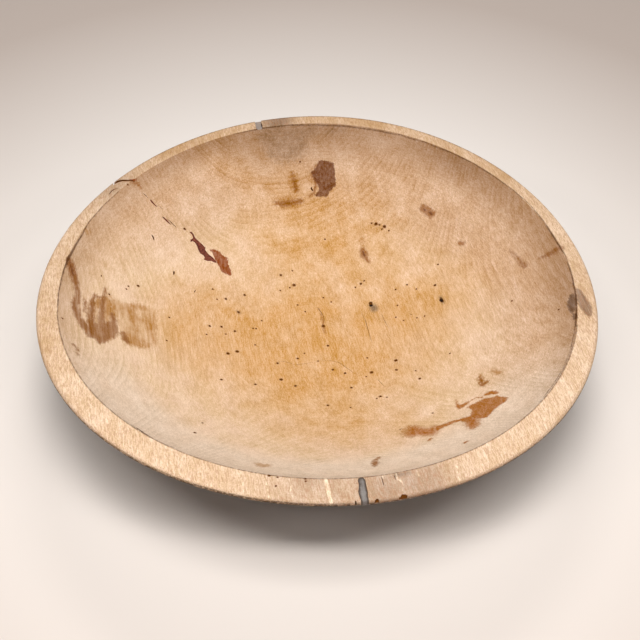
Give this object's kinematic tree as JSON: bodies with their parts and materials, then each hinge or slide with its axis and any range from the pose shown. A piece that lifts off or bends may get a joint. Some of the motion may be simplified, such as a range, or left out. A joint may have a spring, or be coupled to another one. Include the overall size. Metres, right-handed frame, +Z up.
{
  "type": "dough bowl",
  "caption": "Old shallow round turned wooden dough bowl with a broad flat rim, filled rim checks, a filled split and a flat foot, for mixing and raising dough.",
  "frame": {"origin": "centre of the flat foot, on the surface that the bowl stands on", "axes": "+Z up out of the hollow, -Y towards the filled check in the near rim, +X to the right seen from there"},
  "size_m": [0.479, 0.479, 0.1136],
  "materials": {
    "bowl_wood": "old, dry, hand-worn maple with a faint oil sheen",
    "grey_putty": "matt, hard old putty",
    "red_filler": "dull dark red shellac filler",
    "old_iron": "dull black oxidised iron"
  },
  "bodies": {
    "root": {"bowl": "bowl_wood", "near_check_fill": "grey_putty", "far_check_fill": "grey_putty", "split_fill": "red_filler", "nail_stubs": "old_iron"}
  },
  "joints": []
}
